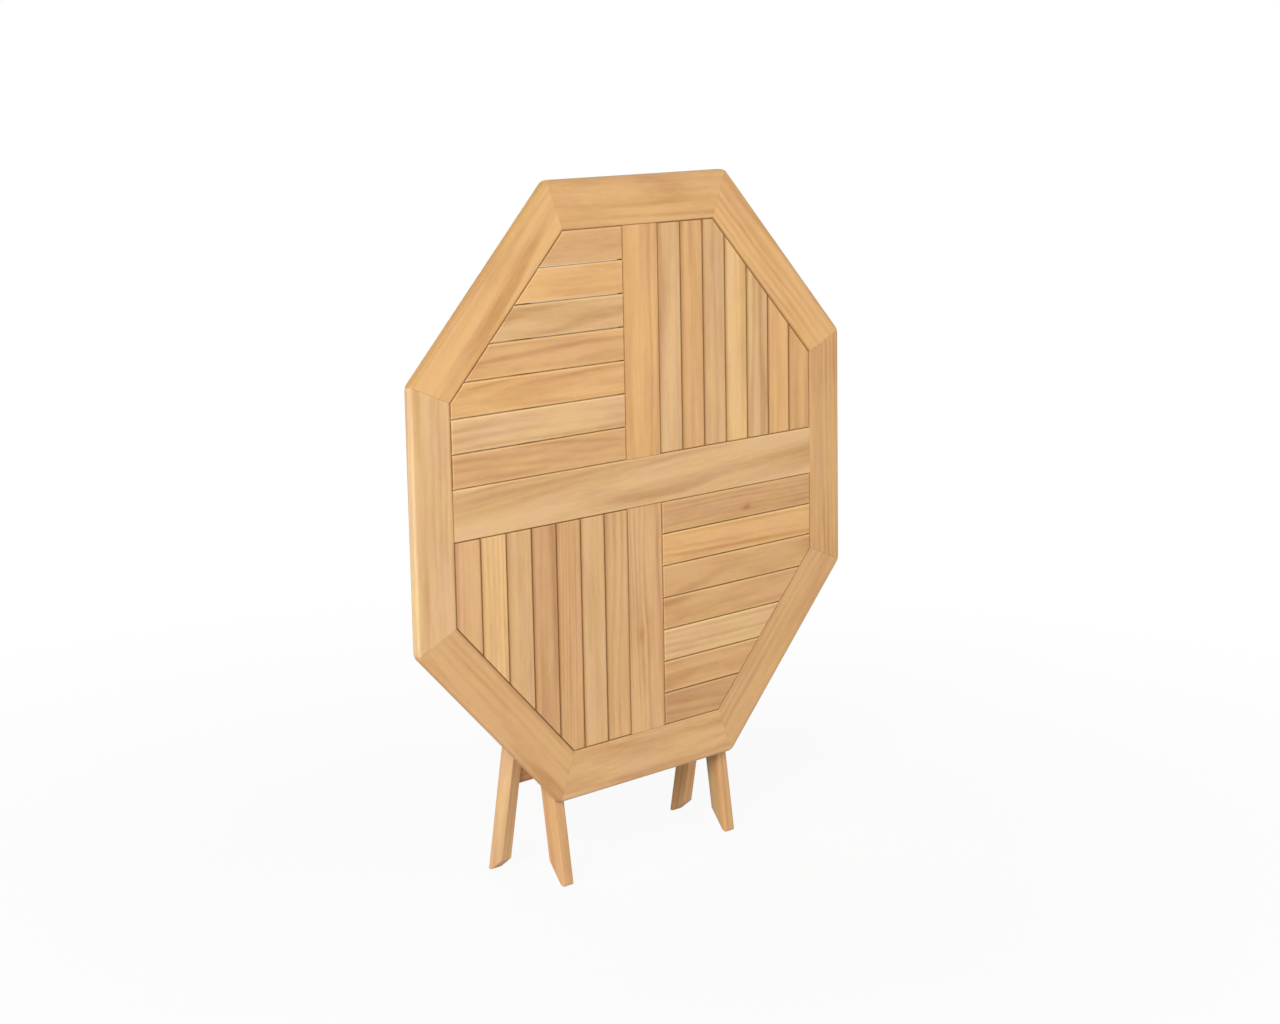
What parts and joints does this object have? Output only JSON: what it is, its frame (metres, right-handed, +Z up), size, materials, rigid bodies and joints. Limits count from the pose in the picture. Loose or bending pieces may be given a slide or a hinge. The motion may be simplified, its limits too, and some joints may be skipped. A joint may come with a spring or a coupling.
{
  "type": "folding table",
  "caption": "Folding eight-sided slatted wooden garden table, standing folded with its top upright in front of a pair of crossed leg frames.",
  "frame": {"origin": "on the floor, under the axis on which the two leg frames cross, at the middle of the part's outline", "axes": "+Z up; +X to the right as seen from in front of the upright top; the top's face looks to -Y; the outer legs stand to +Y"},
  "size_m": [1.4, 0.2178, 1.5981],
  "materials": {
    "teak_frame": "sanded, unoiled golden teak",
    "teak_slats": "sanded, unoiled golden teak, varying from slat to slat",
    "steel": "satin stainless steel"
  },
  "bodies": {
    "crossing": {"pivot_rod": "steel", "pivot_cap_nut_left": "steel", "pivot_cap_nut_right": "steel", "pivot_washer_left": "steel", "pivot_washer_right": "steel"},
    "outer_frame": {"outer_leg_left": "teak_frame", "outer_leg_right": "teak_frame", "outer_stretcher": "teak_frame", "outer_head_rail": "teak_frame"},
    "inner_frame": {"inner_leg_left": "teak_frame", "inner_leg_right": "teak_frame", "catch_rail": "teak_frame", "stop_rail": "teak_frame"},
    "top": {"board_top": "teak_frame", "board_top_left": "teak_frame", "board_left": "teak_frame", "board_bottom_left": "teak_frame", "board_bottom": "teak_frame", "board_bottom_right": "teak_frame", "board_right": "teak_frame", "board_top_right": "teak_frame", "mid_rail": "teak_frame", "upper_centre_rail": "teak_frame", "lower_centre_rail": "teak_frame", "slat_upper_right_1": "teak_slats", "slat_upper_right_2": "teak_slats", "slat_upper_right_3": "teak_slats", "slat_upper_right_4": "teak_slats", "slat_upper_right_5": "teak_slats", "slat_upper_right_6": "teak_slats", "slat_upper_right_7": "teak_slats", "slat_upper_left_1": "teak_slats", "slat_upper_left_2": "teak_slats", "slat_upper_left_3": "teak_slats", "slat_upper_left_4": "teak_slats", "slat_upper_left_5": "teak_slats", "slat_upper_left_6": "teak_slats", "slat_upper_left_7": "teak_slats", "slat_lower_left_1": "teak_slats", "slat_lower_left_2": "teak_slats", "slat_lower_left_3": "teak_slats", "slat_lower_left_4": "teak_slats", "slat_lower_left_5": "teak_slats", "slat_lower_left_6": "teak_slats", "slat_lower_left_7": "teak_slats", "slat_lower_right_1": "teak_slats", "slat_lower_right_2": "teak_slats", "slat_lower_right_3": "teak_slats", "slat_lower_right_4": "teak_slats", "slat_lower_right_5": "teak_slats", "slat_lower_right_6": "teak_slats", "slat_lower_right_7": "teak_slats", "batten_left": "teak_frame", "batten_right": "teak_frame", "hinge_bolt_left": "steel", "hinge_bolt_right": "steel", "hinge_nut_left": "steel", "hinge_nut_right": "steel", "hinge_washer_left": "steel", "hinge_washer_right": "steel"}
  },
  "joints": [
    {"name": "outer_legs_open", "type": "hinge", "parent": "crossing", "child": "outer_frame", "pos_m": [0, 0, 0.55747], "axis": [1, 0, 0], "range_deg": [0, 20.95]},
    {"name": "inner_legs_open", "type": "hinge", "parent": "crossing", "child": "inner_frame", "pos_m": [0, 0, 0.55747], "axis": [-1, 0, 0], "range_deg": [0, 20.95]},
    {"name": "top_tilt", "type": "hinge", "parent": "outer_frame", "child": "top", "pos_m": [0, -0.03901, 0.80238], "axis": [-1, 0, 0], "range_deg": [0, 109.5]}
  ],
  "couplings": [
    {"joint": "inner_legs_open", "follows": "outer_legs_open", "ratio": 1},
    {"joint": "top_tilt", "follows": "outer_legs_open", "ratio": 5.2268}
  ]
}
